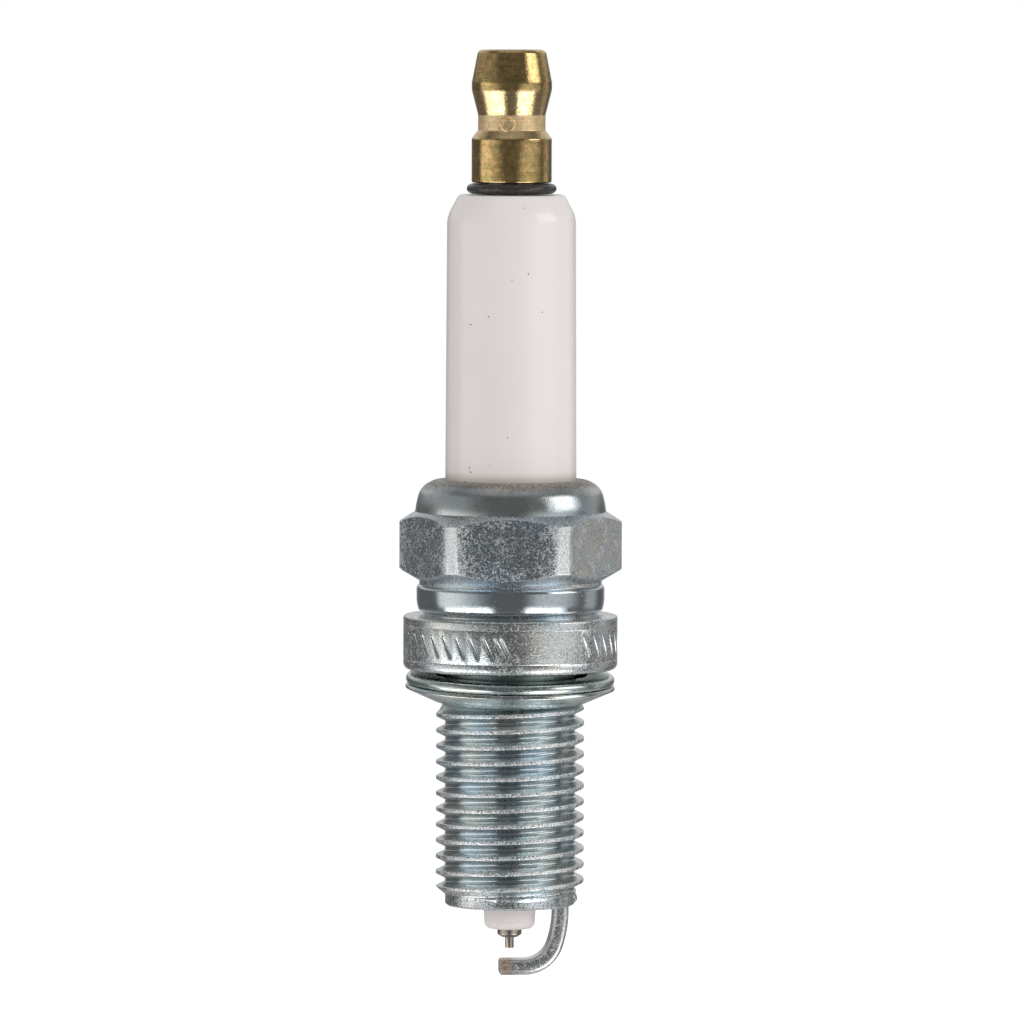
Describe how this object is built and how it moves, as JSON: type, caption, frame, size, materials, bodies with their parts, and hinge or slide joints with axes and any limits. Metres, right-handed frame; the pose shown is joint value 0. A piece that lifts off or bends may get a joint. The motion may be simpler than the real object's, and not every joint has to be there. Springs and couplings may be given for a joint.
{
  "type": "spark plug",
  "caption": "Spark plug with a brass snap terminal, glazed ceramic insulator, zinc-plated steel shell, loose folded gasket, fine-wire centre electrode and bent ground electrode.",
  "frame": {"origin": "on the plug's axis, in the plane of the flange's underside, where the plug seats on the cylinder head", "axes": "+Z along the plug towards the terminal; the hexagon's flats face -Y and +Y; the ground electrode is welded at +X"},
  "size_m": [0.0176, 0.017, 0.0735],
  "materials": {
    "brass": "turned brass, lightly tarnished",
    "stud_steel": "plain steel",
    "rubber": "satin black rubber",
    "glazed_alumina": "glossy off-white glaze",
    "conducting_glass": "dark fused glass with metal powder",
    "resistor_mix": "matt carbon and glass mix",
    "nickel": "brown-grey nickel alloy",
    "copper": "copper",
    "iridium": "drawn iridium wire",
    "packing_steel": "plain steel",
    "talc": "pressed powder",
    "zinc_plate": "bright bluish zinc plate on steel",
    "gasket_steel": "plated folded steel strip",
    "plated_nickel": "zinc-plated nickel alloy, bare at its free end"
  },
  "bodies": {
    "plug": {"terminal_nut": "brass", "terminal_stud": "stud_steel", "o_ring": "rubber", "insulator": "glazed_alumina", "upper_glass_seal": "conducting_glass", "resistor": "resistor_mix", "lower_glass_seal": "conducting_glass", "centre_electrode": "nickel", "electrode_copper_core": "copper", "firing_tip": "iridium", "upper_packing_ring": "packing_steel", "talc_packing": "talc", "lower_packing_ring": "packing_steel", "seat_washer": "packing_steel", "shell": "zinc_plate", "ground_electrode": "plated_nickel"},
    "gasket": {"gasket": "gasket_steel"}
  },
  "joints": [
    {"name": "gasket_spin", "type": "hinge", "parent": "plug", "child": "gasket", "pos_m": [0, 0, -0.001], "axis": [0, 0, 1], "continuous": true}
  ]
}
